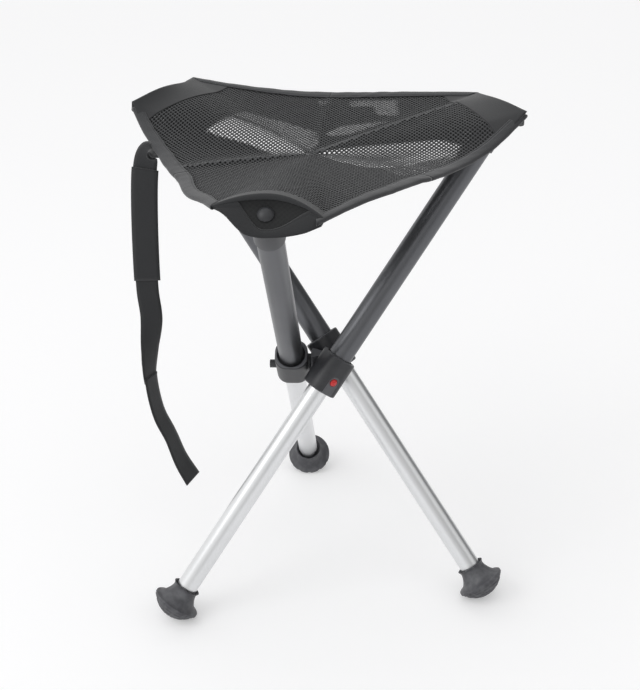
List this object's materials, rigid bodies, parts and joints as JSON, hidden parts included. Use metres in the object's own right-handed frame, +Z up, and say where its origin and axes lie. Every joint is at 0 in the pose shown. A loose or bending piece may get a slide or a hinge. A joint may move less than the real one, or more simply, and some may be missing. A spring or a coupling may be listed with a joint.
{
  "type": "collapsible telescopic stool",
  "caption": "Three-legged folding stool with telescopic tube legs on a skew hinge hub, push-button locks, a mesh sling seat, domed rubber feet and a carrying strap.",
  "frame": {"origin": "on the floor, below the middle of the stool's bounding box", "axes": "+Z up, -Y towards the front seat corner; X to the right"},
  "size_m": [0.4018, 0.422, 0.508],
  "materials": {
    "charcoal_tube": "satin anodised",
    "silver_tube": "satin anodised",
    "dark_plastic": "fine moulded texture",
    "red_button": "smooth",
    "grey_rubber": "matt",
    "pin_steel": "zinc plated",
    "seat_mesh": "open mesh",
    "woven_binding": "woven tape",
    "woven_patch": "plain weave",
    "strap_webbing": "webbing"
  },
  "bodies": {
    "hub": {"hub_core": "dark_plastic", "hinge_pin_front": "pin_steel", "hinge_pin_right": "pin_steel", "hinge_pin_left": "pin_steel", "seat_mesh": "seat_mesh", "hem_binding_right": "woven_binding", "hem_binding_back": "woven_binding", "hem_binding_left": "woven_binding"},
    "leg_front": {"hub_collar_front": "dark_plastic", "guide_bush_front": "dark_plastic", "upper_tube_front": "charcoal_tube", "tube_plug_front": "dark_plastic", "end_cap_front": "dark_plastic", "seat_rivet_front": "dark_plastic", "corner_patch_front": "woven_patch"},
    "leg_right": {"hub_collar_right": "dark_plastic", "guide_bush_right": "dark_plastic", "upper_tube_right": "charcoal_tube", "tube_plug_right": "dark_plastic", "end_cap_right": "dark_plastic", "seat_rivet_right": "dark_plastic", "corner_patch_right": "woven_patch"},
    "leg_left": {"hub_collar_left": "dark_plastic", "guide_bush_left": "dark_plastic", "upper_tube_left": "charcoal_tube", "tube_plug_left": "dark_plastic", "end_cap_left": "dark_plastic", "seat_rivet_left": "dark_plastic", "corner_patch_left": "woven_patch", "carry_strap": "strap_webbing", "strap_loop_pad": "strap_webbing", "strap_hook_pad": "strap_webbing"},
    "inner_front": {"lower_tube_front": "silver_tube", "tube_glide_front": "dark_plastic", "snap_clip_front": "pin_steel", "foot_washer_front": "pin_steel", "foot_front": "grey_rubber"},
    "inner_right": {"lower_tube_right": "silver_tube", "tube_glide_right": "dark_plastic", "snap_clip_right": "pin_steel", "foot_washer_right": "pin_steel", "foot_right": "grey_rubber"},
    "inner_left": {"lower_tube_left": "silver_tube", "tube_glide_left": "dark_plastic", "snap_clip_left": "pin_steel", "foot_washer_left": "pin_steel", "foot_left": "grey_rubber"},
    "button_front": {"release_button_front": "red_button"},
    "button_right": {"release_button_right": "red_button"},
    "button_left": {"release_button_left": "red_button"}
  },
  "joints": [
    {"name": "fold_front", "type": "hinge", "parent": "hub", "child": "leg_front", "pos_m": [-0.0357, 0.00536, 0.24503], "axis": [-1, 0, 0], "range_deg": [0, 31], "deforming": ["seat_mesh", "hem_binding_right", "hem_binding_back", "hem_binding_left", "corner_patch_front", "corner_patch_right", "corner_patch_left", "carry_strap", "strap_loop_pad", "strap_hook_pad"]},
    {"name": "fold_right", "type": "hinge", "parent": "hub", "child": "leg_right", "pos_m": [0.00405, -0.01759, 0.24503], "axis": [0.5, -0.866, 0], "range_deg": [0, 31]},
    {"name": "fold_left", "type": "hinge", "parent": "hub", "child": "leg_left", "pos_m": [0.00405, 0.02831, 0.24503], "axis": [0.5, 0.866, 0], "range_deg": [0, 31]},
    {"name": "telescope_front", "type": "slide", "parent": "leg_front", "child": "inner_front", "axis": [0, -0.632, 0.7749], "range_m": [0, 0.2], "deforming": ["snap_clip_front"]},
    {"name": "telescope_right", "type": "slide", "parent": "leg_right", "child": "inner_right", "axis": [0.5474, 0.316, 0.7749], "range_m": [0, 0.2], "deforming": ["snap_clip_right"]},
    {"name": "telescope_left", "type": "slide", "parent": "leg_left", "child": "inner_left", "axis": [-0.5474, 0.316, 0.7749], "range_m": [0, 0.2], "deforming": ["snap_clip_left"]},
    {"name": "press_front", "type": "slide", "parent": "leg_front", "child": "button_front", "axis": [1, 0, 0], "range_m": [0, 0.0018], "stiffness_N_per_m": 400},
    {"name": "press_right", "type": "slide", "parent": "leg_right", "child": "button_right", "axis": [-0.5, 0.866, 0], "range_m": [0, 0.0018], "stiffness_N_per_m": 400},
    {"name": "press_left", "type": "slide", "parent": "leg_left", "child": "button_left", "axis": [-0.5, -0.866, 0], "range_m": [0, 0.0018], "stiffness_N_per_m": 400}
  ],
  "couplings": [
    {"joint": "fold_right", "follows": "fold_front", "ratio": 1},
    {"joint": "fold_left", "follows": "fold_front", "ratio": 1}
  ]
}
